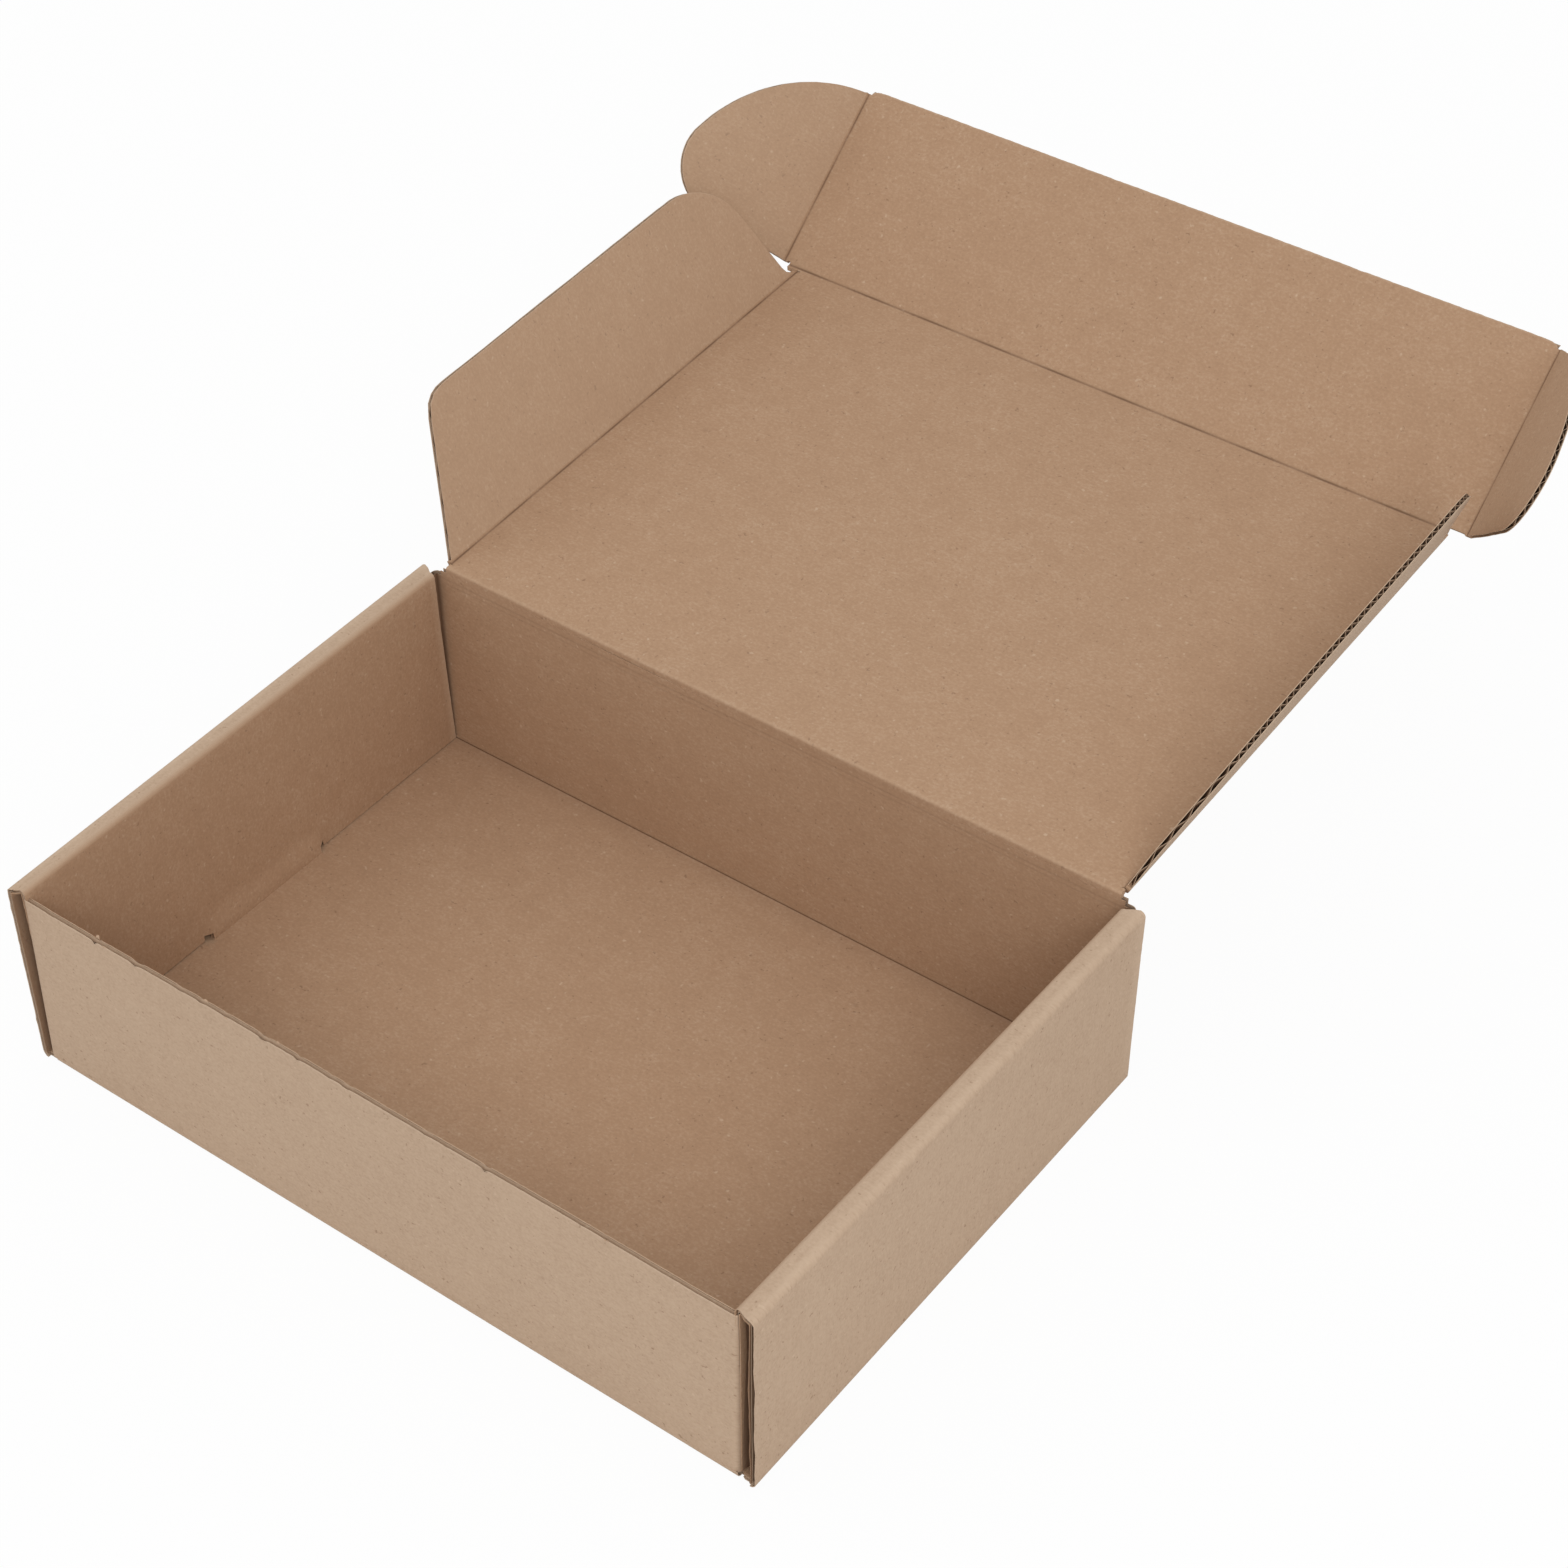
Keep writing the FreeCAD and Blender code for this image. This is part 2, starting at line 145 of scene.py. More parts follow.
class Sheet:      # one Blender piece, gathered from closed slabs of paper
    def __init__(self, name):
        self.name = name
        self.points, self.blank, self.tone = [], [], []
        self.faces, self.kinds = [], []

    def slab(self, top, low, blank, tone, kind=0, mask=None):      # kind is 0 for liner and 1 for fluting
        rows, cols = top.shape[:2]
        first = sum(len(p) for p in self.points)
        size = rows * cols
        for skin in (top, low):
            self.points.append(skin.reshape(-1, 3))
            self.blank.append(blank.reshape(-1, 3))
            self.tone.append(np.broadcast_to(tone, (rows, cols)).reshape(-1))
        if mask is None:
            mask = np.ones((rows - 1, cols - 1), bool)
        corner = lambda i, j: first + i * cols + j
        for i in range(rows - 1):
            for j in range(cols - 1):
                if not mask[i, j]:
                    continue
                ring = [corner(i, j), corner(i, j + 1), corner(i + 1, j + 1), corner(i + 1, j)]
                self.faces.append(ring)
                self.faces.append([size + k for k in reversed(ring)])
                bare = (i == 0 or not mask[i - 1, j], j == cols - 2 or not mask[i, j + 1],
                        i == rows - 2 or not mask[i + 1, j], j == 0 or not mask[i, j - 1])
                for side in range(4):
                    if bare[side]:
                        a, b = ring[side], ring[(side + 1) % 4]
                        self.faces.append([b, a, size + a, size + b])
        self.kinds += [kind] * (len(self.faces) - len(self.kinds))

    def build(self, materials):
        points = np.concatenate(self.points)
        used = np.unique(np.concatenate([np.array(f) for f in self.faces]))
        renumber = np.full(len(points), -1)
        renumber[used] = np.arange(len(used))
        mesh = bpy.data.meshes.new(self.name)
        mesh.from_pydata((points[used] * mm).tolist(), [], [renumber[f].tolist() for f in self.faces])
        mesh.polygons.foreach_set("material_index", self.kinds)
        blank = mesh.attributes.new("blank", "FLOAT_VECTOR", "POINT")
        blank.data.foreach_set("vector", np.concatenate(self.blank)[used].astype(np.float32).ravel())
        tone = mesh.attributes.new("tone", "FLOAT", "POINT")
        tone.data.foreach_set("value", np.concatenate(self.tone)[used].astype(np.float32))
        for material in materials:
            mesh.materials.append(material)
        work = bmesh.new()
        work.from_mesh(mesh)
        bmesh.ops.recalc_face_normals(work, faces=work.faces)
        work.to_mesh(mesh)
        work.free()
        mesh.shade_smooth()
        mesh.set_sharp_from_angle(angle=math.radians(32))
        piece = bpy.data.objects.new(self.name, mesh)
        bpy.context.scene.collection.objects.link(piece)
        return piece


# Two liners on a grid. free names the cut edges: l and r for the u ends, b and t for the v ends.
# Light rims show where a liner was cut, and insideTint is where the outside liner takes the inside liner's
# browner colour.
def layBoard(sheet, place, u, v, toBlank, mask=None, tone=0.0, free="", peel=None, dents=None,
             insideTint=None, seed=1.0):
    half = board["thick"] / 2
    for layer, sign in (("inside", 1), ("outside", -1)):
        uu, vv = u.copy(), v.copy()
        amount = board["ragged"]
        own = seed + sign
        shade = np.array(np.broadcast_to(tone[layer] if isinstance(tone, dict) else tone, u.shape), float)
        if "l" in free:
            uu[:, 0] += raggedEdge(v[:, 0], own) * amount
        if "r" in free:
            uu[:, -1] += raggedEdge(v[:, -1], own + 2) * amount
            shade[:, -1] -= board["rim"]
        if "b" in free:
            vv[0] += raggedEdge(u[0], own + 4) * amount
        if "t" in free:
            vv[-1] += raggedEdge(u[-1], own + 6) * amount
            shade[-1] -= board["rim"]
        if dents and sign in dents:
            vv[-1] -= dents[sign](u[-1])
        lift = 0.0 if peel is None else peel(layer, uu, vv)
        top = place(uu, vv, sign * half + lift)
        low = place(uu, vv, sign * (half - board["liner"]) + lift)
        face = np.full(uu.shape, float(sign))
        if insideTint is not None:
            face = np.maximum(face, insideTint * 2 - 1)
        sheet.slab(top, low, np.dstack([*toBlank(uu, vv), face]), shade, 0, mask)


# The wavy middle paper, on a grid that is fine across the flutes. depth counts from the cut edge.
def layFlutes(sheet, place, u, v, toBlank, flute, depth):
    wave = np.sin(flute * 2 * math.pi / board["pitch"]) * board["wave"]
    top = place(u, v, wave + board["medium"] / 2)
    low = place(u, v, wave - board["medium"] / 2)
    flat = np.dstack([*toBlank(u, v), np.zeros(u.shape)])
    # painted shade: the fluting darkens with depth behind the cut edge, where the liners shade it; its cut edge
    # is made lighter
    sheet.slab(top, low, flat, 1.1 * smooth((depth - 0.2) / 1.6) - 0.3 * smooth(1 - depth / 0.5), 1)


def spread(start, end, step):
    return np.linspace(start, end, max(2, int(math.ceil(abs(end - start) / step)) + 1))


def gridOf(us, vs):
    v, u = np.meshgrid(vs, us, indexing="ij")
    return u, v


def cellMiddles(us, vs):
    return np.meshgrid((us[:-1] + us[1:]) / 2, (vs[:-1] + vs[1:]) / 2)


def bell(x, width):
    return np.exp(-(x / width) ** 2)


class Path:       # a folded line of straight runs and arcs, read by its length
    def __init__(self, corners, radii, steps=7):
        pts = [np.array(corners[0], float)]
        for before, at, after, r in zip(corners, corners[1:], corners[2:], radii):
            at = np.array(at, float)
            a, b = np.array(before, float) - at, np.array(after, float) - at
            a, b = a / np.linalg.norm(a), b / np.linalg.norm(b)
            half = math.acos(np.clip(a @ b, -1, 1)) / 2
            centre = at + (a + b) / np.linalg.norm(a + b) * r / math.sin(half)
            start, end = at + a * r / math.tan(half), at + b * r / math.tan(half)
            s, e = start - centre, end - centre
            turn = math.acos(np.clip(s @ e / r / r, -1, 1))
            for k in range(steps + 1):
                t = k / steps
                p = s * math.sin((1 - t) * turn) + e * math.sin(t * turn)
                pts.append(centre + p / math.sin(turn))
        pts.append(np.array(corners[-1], float))
        kept = [0] + [k for k in range(1, len(pts)) if np.linalg.norm(pts[k] - pts[k - 1]) > 1e-6]
        self.pts = np.array(pts)[kept]
        runs = np.linalg.norm(np.diff(self.pts, axis=0), axis=1)
        self.at = np.concatenate([[0], np.cumsum(runs)])
        along = np.diff(self.pts, axis=0) / runs[:, None]
        mean = np.vstack([along[:1], along[:-1] + along[1:], along[-1:]])
        mean /= np.linalg.norm(mean, axis=1)[:, None]
        bend = np.concatenate([[1.0], (along[:-1] * mean[1:-1]).sum(1), [1.0]])
        self.normals = np.stack([-mean[:, 1], mean[:, 0]], axis=1) / bend[:, None]   # left of the way
        self.length = self.at[-1]

    def read(self, s, h):
        p = [np.interp(s, self.at, self.pts[:, k]) for k in (0, 1)]
        n = [np.interp(s, self.at, self.normals[:, k]) for k in (0, 1)]
        return p[0] + n[0] * h, p[1] + n[1] * h

    def stations(self, step):      # every bend point, with long runs divided
        out = [self.at[0]]
        for a, b in zip(self.at, self.at[1:]):
            out += list(spread(a, b, step)[1:])
        return np.array(out)


thick, halfThick = board["thick"], board["thick"] / 2
hinge = np.array([0.0, *lid["hinge"]])
lidTurn, frontTurn = math.radians(lid["angle"]), math.radians(frontFlap["angle"])
across = np.array([1.0, 0.0, 0.0])
lidWay = np.array([0.0, math.cos(lidTurn), math.sin(lidTurn)])
lidUp = np.array([0.0, -math.sin(lidTurn), math.cos(lidTurn)])
frontWay = np.array([0.0, math.cos(frontTurn), math.sin(frontTurn)])
frontUp = np.array([0.0, -math.sin(frontTurn), math.cos(frontTurn)])
frontHinge = hinge + lidWay * lid["length"]


def wallLean(side, y, z, which="sideLean"):
    front, rear = tray[which][side]
    share = (y + tray["halfDepth"]) / (2 * tray["halfDepth"])
    return (front + (rear - front) * share) * z / tray["wallHeight"]


def inSpace(origin, *terms):
    out = np.zeros(np.broadcast(*[t[0] for t in terms]).shape + (3,)) + origin
    for amount, way in terms:
        out = out + np.asarray(amount)[..., None] * way
    return out


def crumple(u, v, seed, far):     # bow of a panel, nothing at its creases
    return drift(u, v, seed) * lid["bow"] * smooth(far / 14)


def placeLid(u, v, h):
    far = np.minimum(np.minimum(v, lid["length"] - v), lid["dustCrease"] - np.abs(u))
    return inSpace(hinge, (u, across), (v, lidWay), (h + crumple(u, v, 1.0, far), lidUp))


def placeFront(u, v, h):
    far = np.minimum(v, frontFlap["earCrease"] - np.abs(u))
    return inSpace(frontHinge, (u, across), (v, frontWay), (h + crumple(u, v, 4.0, far), frontUp))


def placeDust(side):
    def place(u, v, h):
        near, farEnd = dustFlap["angle"][side]
        turn = np.radians(near + (farEnd - near) * v / lid["length"])
        cos, sin = np.cos(turn), np.sin(turn)
        h = h + (crumple(u, v, 7.0 + side, u) + lid["bow"] * smooth(u / 14)) / 2      # bows inwards only
        return inSpace(hinge + across * lid["dustCrease"] * side, (v, lidWay),
                       (side * (u * cos - h * sin), across), (u * sin + h * cos, lidUp))
    return place


def placeEar(side):
    turn = math.radians(ear["angle"])
    def place(u, v, h):
        h = h + crumple(u, v, 11.0 + side, u) - ear["curl"][side] * u * u
        return inSpace(frontHinge + across * frontFlap["earCrease"] * side, (v, frontWay),
                       (side * (u * math.cos(turn) - h * math.sin(turn)), across),
                       (u * math.sin(turn) + h * math.cos(turn), frontUp))
    return place


# The flat blank gives every paper its pattern, so it runs on over the creases.
wallStart = tray["halfDepth"] - tray["baseFold"]
lidStart = wallStart + hinge[2]
frontStart = lidStart + lid["length"]
print("panels placed")


floorCut = {
    "upturn": 0.6,               # how far the floor's board runs up past its end folds
    "foldRun": 1.65,             # length of board in one of these folds
    "footLine": (1.4, 0.55, 1.6),    # place, width and strength of the line pressed beside them
    "tabSlot": (112.4, 116.5),   # where the slot of a tab starts and ends
    "slotLip": 2.6,              # how much further out it opens
    "slotHidden": 0.4,           # the tab hides this much of each end
    "tongue": (0.1, 0.9, 0.5),   # gap beside a corner's tongue, what it is short of the wall, and its slant
    "step": 7,
}


def buildFloor(sheet):
    mid = tray["halfDepth"] - halfThick
    end = tray["fold"] + floorCut["upturn"]
    path = Path([(-mid, end), (-mid, halfThick), (mid, halfThick), (mid, end)], [tray["fold"] - halfThick] * 2)
    flat = tray["halfWidth"] - tray["fold"]
    gap, short, slant = floorCut["tongue"]
    wall = flat - tray["slot"] - thick - gap
    slotIn, slotOut = floorCut["tabSlot"]
    opening = slotIn + floorCut["slotLip"]
    tabLow, tabHigh = tray["tab"][0] + floorCut["slotHidden"], tray["tab"][1] - floorCut["slotHidden"]
    half = path.length / 2
    step = floorCut["step"]
    stations = np.unique(np.round(np.append(path.stations(step), [half + tabLow, half + tabHigh]), 4))
    xs = np.unique(np.concatenate([[-flat, -slotOut, -wall, -slotIn], spread(-slotIn, slotIn, step)[1:-1],
                                   [slotIn, wall, slotOut, flat], [-opening, opening]]))
    u, v = gridOf(xs, stations)
    mx, mv = cellMiddles(xs, stations)
    mx = np.abs(mx)
    folded = end - tray["fold"] + floorCut["foldRun"]
    folds = (mv < folded) | (mv > path.length - folded)
    slots = (mx > opening) & (mx < slotOut) & (mv > half + tabLow) & (mv < half + tabHigh)
    mask = ~((folds & (mx > wall)) | slots)
    def place(u, v, h):
        y, z = path.read(v, h)
        return np.dstack([u, y, z])
    at, width, strength = floorCut["footLine"]
    pressed = bell(np.minimum(v, path.length - v) - at, width) * strength
    layBoard(sheet, place, u, v, lambda u, v: (u, v - half), mask, tone={"inside": pressed, "outside": 0.0})
    for side in (-1, 1):
        for end in (-1, 1):
            tongueX = spread(wall + 0.7, flat, 0.7)
            tongueY = spread(tray["halfDepth"] - tray["fold"], tray["halfDepth"] - short, 0.4)
            u, v = gridOf(tongueX, tongueY)
            v = v - slant * smooth((wall + 1.6 - u) / 0.9) * (v - tongueY[0])
            layBoard(sheet, lambda u, v, h: np.dstack([u * side, v * end, halfThick + h + 0 * u]), u, v,
                     lambda u, v: (u * side, v * end), free="t")


endWall = {
    "bow": 0.35,
    "flapShare": 0.45,           # what the corner flaps take of the front wall's shift
    "shiftFront": (-76, 6),      # y behind which they take only that, and the way to it
    "shiftRear": (-44, 22),      # y behind which nothing shifts, and the way to it
    "taper": (0.55, 0.25),       # how much narrower the front wall gets, and how far it goes right
    "cornerCreviceShade": {-1: (0.85, 1.0), 1: (1.1, 1.5)},    # painted shade of the crevice at each inside corner: strength and width, front and rear
    "cornerMiddle": 0.215,       # how much shorter the way round a corner is, in its radii
    "flapDark": 0.95,            # painted shade on the outsides of the corner flaps, deep in the slots
    "lines": ((60.4, 0.22), (58.8, 0.16)),              # rear wall's upper scores, height and strength
    "lineWidth": 0.3,
    "lineRows": (58.2, 61, 0.2),
}


def buildEndWall(sheet, sign, top, dents=None):      # sign is -1 for the front wall and 1 for the rear one
    out = tray["halfWidth"] - thick - tray["slot"] - halfThick
    mid = tray["halfDepth"] - halfThick
    tip = tray["halfDepth"] - tray["fold"] - tray["cornerFlap"]
    corners = [(-out, -tip), (-out, -mid), (out, -mid), (out, -tip)]
    path = Path([(-sign * x, -sign * y) for x, y in corners], [tray["fold"] - halfThick] * 2)
    half = path.length / 2
    base = tray["fold"]
    lean = tray["frontLean"] / tray["frontHeight"] if sign < 0 else tray["rearLean"] / hinge[2]  # to the rear
    def place(u, v, h):
        far = np.minimum(v - base, out - np.abs(u - half))
        h = h + drift(u, v, 5.0 + sign) * endWall["bow"] * smooth(far / 12)
        x, y = path.read(u, h)
        side = np.where(x < 0, wallLean(-1, y, v), wallLean(1, y, v))
        if sign < 0:          # the front wall sits a little to the left
            (nearY, nearWay), (farY, farWay) = endWall["shiftFront"], endWall["shiftRear"]
            share, (narrow, aside) = endWall["flapShare"], endWall["taper"]
            eased = (share + (1 - share) * smooth((nearY - y) / nearWay)) * smooth((farY - y) / farWay)
            x = x - eased * (tray["frontShift"] + tray["frontShrink"] * x / out)
            x = x - eased * (narrow * x / out - aside) * v / tray["frontHeight"]
        return np.dstack([x + x / (out + halfThick) * side, y + lean * v, v])
    runs = path.stations(1.2 if sign < 0 else 4.0)
    rows = np.unique(np.concatenate([spread(base, top, 5), [top - 0.6]]))
    if sign > 0:
        fine = spread(*endWall["lineRows"])
        rows = np.unique(np.concatenate([rows, fine, [tray["crestHeight"]]]).round(4))
        edge = [half - tray["crestHalf"], half + tray["crestHalf"]]
        runs = np.unique(np.round(np.append(runs, edge), 4))
    u, v = gridOf(runs, rows)
    mask = None
    if sign > 0:
        mu, mv = cellMiddles(runs, rows)
        mask = (mv < top) | (np.abs(mu - half) < tray["crestHalf"])
    toBlank = lambda u, v: ((u - half) * -sign, sign * (v + wallStart))
    flap = mid - tip - (tray["fold"] - halfThick) * endWall["cornerMiddle"]
    corner = half - np.abs(u - half) - flap      # less than 0 on the corner flaps
    strength, width = endWall["cornerCreviceShade"][sign]
    scoreAndShade = {
        # painted shade in the inside corners where the flaps fold away
        "inside": strength * bell(corner, width),
        # painted shade on the corner flaps' outsides, darker further into the slots
        "outside": endWall["flapDark"] * smooth((0.4 - corner) / 1.6),
    }
    if sign > 0:
        lines = sum(depth * bell(v - at, endWall["lineWidth"]) for at, depth in endWall["lines"])
        scoreAndShade["inside"] = np.maximum(scoreAndShade["inside"], lines)
    layBoard(sheet, place, u, v, toBlank, mask, tone=scoreAndShade, free="lrt" if sign < 0 else "lr",
             dents=dents, seed=2.0 + sign)
    if sign < 0:
        fine = spread(top - board["fluteStrip"], top - 0.12, board["pitch"] / 8)
        u, v = gridOf(path.stations(3.0), fine)
        layFlutes(sheet, place, u, v, toBlank, v, top - v)


sideWall = {
    "bow": 0.15,
    "notch": (2.4, 3.8),         # width and height of the cuts beside a tab
    "peel": {-1: 0.35, 1: 1.4},  # how far the liners have come apart at the front end
    "peelFrom": (-77.5, 5.0),    # y where that begins, and the way to its full height
    "wear": 0.5,                 # how much lighter the outer edge of the band is made
    "shade": 0.6,                # painted shade on the liner's inside near the front end, in the slot
}


def buildSideWall(sheet, side):      # side is -1 for the left wall and 1 for the right one
    fold, high = tray["fold"], tray["wallHeight"] - halfThick
    outer = tray["halfWidth"] - halfThick
    inner = tray["halfWidth"] - tray["rollBand"] + halfThick
    start = (tray["halfWidth"] - fold, halfThick)
    bend = tray["bandFold"] - halfThick
    path = Path([start, (outer, halfThick), (outer, high), (inner, high), (inner, tray["tabSole"])],
                [fold - halfThick, bend, bend])
    panelAt = path.length - (high - bend - tray["tabSole"])      # where the inner panel's flat begins
    bandIn = panelAt - bend * math.pi / 2
    bandOut = bandIn - (outer - inner - 2 * bend)
    fromFoot = lambda z: path.length - (z - tray["tabSole"])
    tabLow, tabHigh = tray["tab"]
    notch, notchTop = sideWall["notch"]
    cuts = [fromFoot(notchTop), fromFoot(tray["panelFoot"])]
    runs = np.unique(np.round(np.append(path.stations(2.0), cuts), 4))
    rows = np.concatenate([spread(tray["panelFront"], tabLow - notch, 3), spread(tabLow, tabHigh, 3),
                           spread(tabHigh + notch, tray["panelRear"], 3)])

    def window(y):
        return smooth((y - tabLow + notch) / notch) * smooth((tabHigh + notch - y) / notch)

    def place(u, v, h):
        near = np.minimum(np.abs(u - bandOut), np.minimum(np.abs(u - bandIn), u))
        bow = (1 + drift(u, v, 21.0 + side)) * sideWall["bow"] * smooth((near - 4) / 14)
        x, z = path.read(u, h + bow)
        inside = smooth((u - panelAt) / 8)
        x = x - inside * tray["tabBulge"] * smooth((tray["tabRise"] - z) / 9) * window(v)
        lean, panelLean = wallLean(side, v, z), wallLean(side, v, z, "panelLean")
        lean = lean + (panelLean - lean) * smooth((u - bandOut) / (bandIn - bandOut))
        return np.dstack([side * (x + lean), v, z])

    def overBand(u):     # 0 on the outer panel and 1 on the inner one
        return smooth((u - bandOut - 0.5) / (bandIn - bandOut - 0.5))

    def ends(u, v):      # the inner panel is shorter, and the band's ends slant over to it
        share = overBand(u)
        v = v.copy()
        v[0] = -tray["halfDepth"] + share[0] * (tray["panelFront"] + tray["halfDepth"])
        v[-1] = tray["halfDepth"] - share[-1] * (tray["halfDepth"] - tray["panelRear"])
        return v

    def peel(layer, u, v):
        begin, way = sideWall["peelFrom"]
        edge = smooth((begin - v) / way)
        reach = smooth((u - 6) / 9) * smooth((bandOut - 9 - u) / 9)
        ripple = 0.25 + 0.2 * np.sin(u / 4.6) + 0.12 * np.sin(u / 1.9 + 1)
        return (0.42 if layer == "inside" else -0.5) * ripple * edge * reach * sideWall["peel"][side]

    u, v = gridOf(runs, rows)
    v = ends(u, v)
    mu, mv = cellMiddles(runs, rows)
    gaps = ((mv > tabLow - notch) & (mv < tabLow)) | ((mv > tabHigh) & (mv < tabHigh + notch))
    foot = (mu > fromFoot(tray["panelFoot"])) & ~((mv > tabLow) & (mv < tabHigh))
    mask = ~((gaps & (mu > fromFoot(notchTop))) | foot)
    toBlank = lambda u, v: (side * (start[0] + u), v)
    # the band's outer edge is made lighter, unevenly along its length
    lighterEdge = smooth(1 - np.abs(u - bandOut) / 1.4) * (0.6 + 0.4 * drift(v * 3, u, 3.0))
    # painted shade on the outer panel's inside near the front end, where the slot lies
    shade = smooth((-70 - v) / 9) * smooth((bandOut - u) / 3)
    layBoard(sheet, place, u, v, toBlank, mask, free="bt", peel=peel, seed=9.0 + side,
             tone={"inside": sideWall["shade"] * shade, "outside": -sideWall["wear"] * lighterEdge},
             insideTint=smooth((u - bandIn) / (panelAt - bandIn)))
    upto = path.stations(3.0)
    upto = upto[upto < fromFoot(tray["panelFoot"])]
    for end, cut in ((-1, tray["panelFront"] + tray["halfDepth"]), (1, tray["halfDepth"] - tray["panelRear"])):
        u, deep = gridOf(upto, spread(0.1, board["fluteStrip"], board["pitch"] / 8))
        v = end * (tray["halfDepth"] - overBand(u) * cut - deep)
        layFlutes(sheet, place, u, v, toBlank, v, deep)


frontEdge = {
    "nicks": (-90.7, -88, -76.2, -60.4, -52.9, -44.9, -31.5, -27.8, -19.6, -9.1, -3.3, 22.5, 41.2, 77.6),
    "depths": (0.85, 0.5, 0.7),
    "frays": ((-90.7, 1.5, 0.8), (-86.8, 2.0, 0.6), (-52.5, 1.7, 0.5), (-44.5, 1.3, 0.6),
              (-27.8, 1.2, 0.5), (78.0, 1.5, 1.0)),      # place, width and height
}


def edgeDents(sign):      # nicks in a liner of the front wall's cut edge
    def dent(u):
        x = u - u.mean()
        out = np.zeros_like(x)
        for k, at in enumerate(frontEdge["nicks"]):
            deep = frontEdge["depths"][k % 3] * (1.0 if (k + sign) % 2 else 0.35)
            out += deep * bell(x - at, 0.9 + 0.25 * (k % 4))
        return out
    return dent


def buildFrays(sheet):      # small curls of torn liner on the front wall's cut edge
    for k, (at, wide, tall) in enumerate(frontEdge["frays"]):
        back, curl = (0.1, 1) if k % 2 else (1.3, -0.6)      # on the outer and the inner liner in turn
        u, v = gridOf(spread(-0.5, 0.5, 0.2), spread(0, 1, 0.25))
        x = at + u * wide * (1 - 0.5 * v)
        y = -tray["halfDepth"] + tray["frontLean"] + back - tall * 0.7 * v * v * curl
        z = tray["frontHeight"] - 0.35 + tall * v * (1 + 0.2 * np.sin(u * 7 + k))
        top = np.dstack([x, y, z])
        sheet.slab(top, top + np.array([0, 0.16, 0.05]), np.dstack([x, -wallStart - z, 0 * x + 1]), -0.4)


trayBoard = Sheet("trayBoard")
buildFloor(trayBoard)
buildEndWall(trayBoard, -1, tray["frontHeight"], {1: edgeDents(1), -1: edgeDents(-1)})
buildEndWall(trayBoard, 1, tray["rearHeight"])
for side in (-1, 1):
    buildSideWall(trayBoard, side)
buildFrays(trayBoard)
print("tray built:", len(trayBoard.faces), "faces")


def buildLid(sheet):
    room = lid["creaseRoom"]
    u, v = gridOf(spread(-lid["dustCrease"] + room, lid["dustCrease"] - room, 5),
                  spread(room, lid["length"] - room, 5))
    layBoard(sheet, placeLid, u, v, lambda u, v: (u, v + lidStart), seed=3.0)


def buildFrontFlap(sheet):
    room = lid["creaseRoom"]
    half, top = frontFlap["earCrease"] - room, frontFlap["height"]
    rounding, drop = frontFlap["cornerRound"], top - ear["high"]
    toBlank = lambda u, v: (u, v + frontStart)
    ends = spread(half - rounding, half, 0.4)
    u, v = gridOf(np.concatenate([-ends[::-1], spread(rounding - half, half - rounding, 1.2)[1:-1], ends]),
                  np.append(spread(room, top - 0.6, 5), top))
    into = np.maximum(np.abs(u) - half + rounding, 0) / rounding
    v = v - drop * (1 - np.sqrt(1 - np.minimum(into, 1) ** 2)) * v / top        # the top corners are rounded off
    layBoard(sheet, placeFront, u, v, toBlank, free="t", seed=4.0)
    u, v = gridOf(spread(-half, half, 3.0), spread(top - board["fluteStrip"], top - 0.12, board["pitch"] / 8))
    layFlutes(sheet, placeFront, u, v, toBlank, v, top - v)


# A flap whose flutes run out from its crease. reachAt gives its width at each place along it.
def buildFlap(sheet, side, place, reachAt, low, high, crease, blankV, seed, fine, pale):
    room = lid["creaseRoom"]
    share = np.sort(np.append(np.linspace(0, 1, 14), 0.992))
    rows = low + (high - low) * 0.5 * (1 - np.cos(spread(0, math.pi, fine)))      # closer towards both ends
    t, v = gridOf(share, np.unique(np.append(rows, fineEnds(low, high))))
    reach = np.maximum(reachAt(v), room + 0.02)
    u = room + (reach - room) * t
    toBlank = lambda u, v: (side * (crease + u), v + blankV)
    # pale lightens the inside face: painted light
    layBoard(sheet, place, u, v, toBlank, tone={"inside": -pale, "outside": 0.0}, free="rbt", seed=seed)
    t, v = gridOf(np.array([0, 0.5, 0.82, 0.93, 0.97, 1]), spread(low, high, board["pitch"] / 8))
    reach = np.maximum(reachAt(v), room + 0.02)
    deep = board["fluteStrip"] * (1 - t)
    layFlutes(sheet, place, np.maximum(reach - 0.08 - deep, room), v, toBlank, v, deep)


def fineEnds(low, high):
    near = np.array([0.0, 0.15, 0.4, 0.8, 1.4, 2.1, 3.0])
    return np.concatenate([low + near, high - near])


def dustReach():
    f = dustFlap
    high, toe = f["toe"]
    far = lid["length"] - f["far"]
    path = Path([(0, f["near"]), (f["height"], f["near"] + f["slant"]), (f["height"], far - f["farSlant"]),
                 (high, far - high * f["farSlant"] / f["height"]), (0, lid["length"] - toe)],
                [f["nearRound"], f["farRound"], f["toeRound"]], steps=24)
    return lambda v: np.interp(v, path.pts[:, 1], path.pts[:, 0])


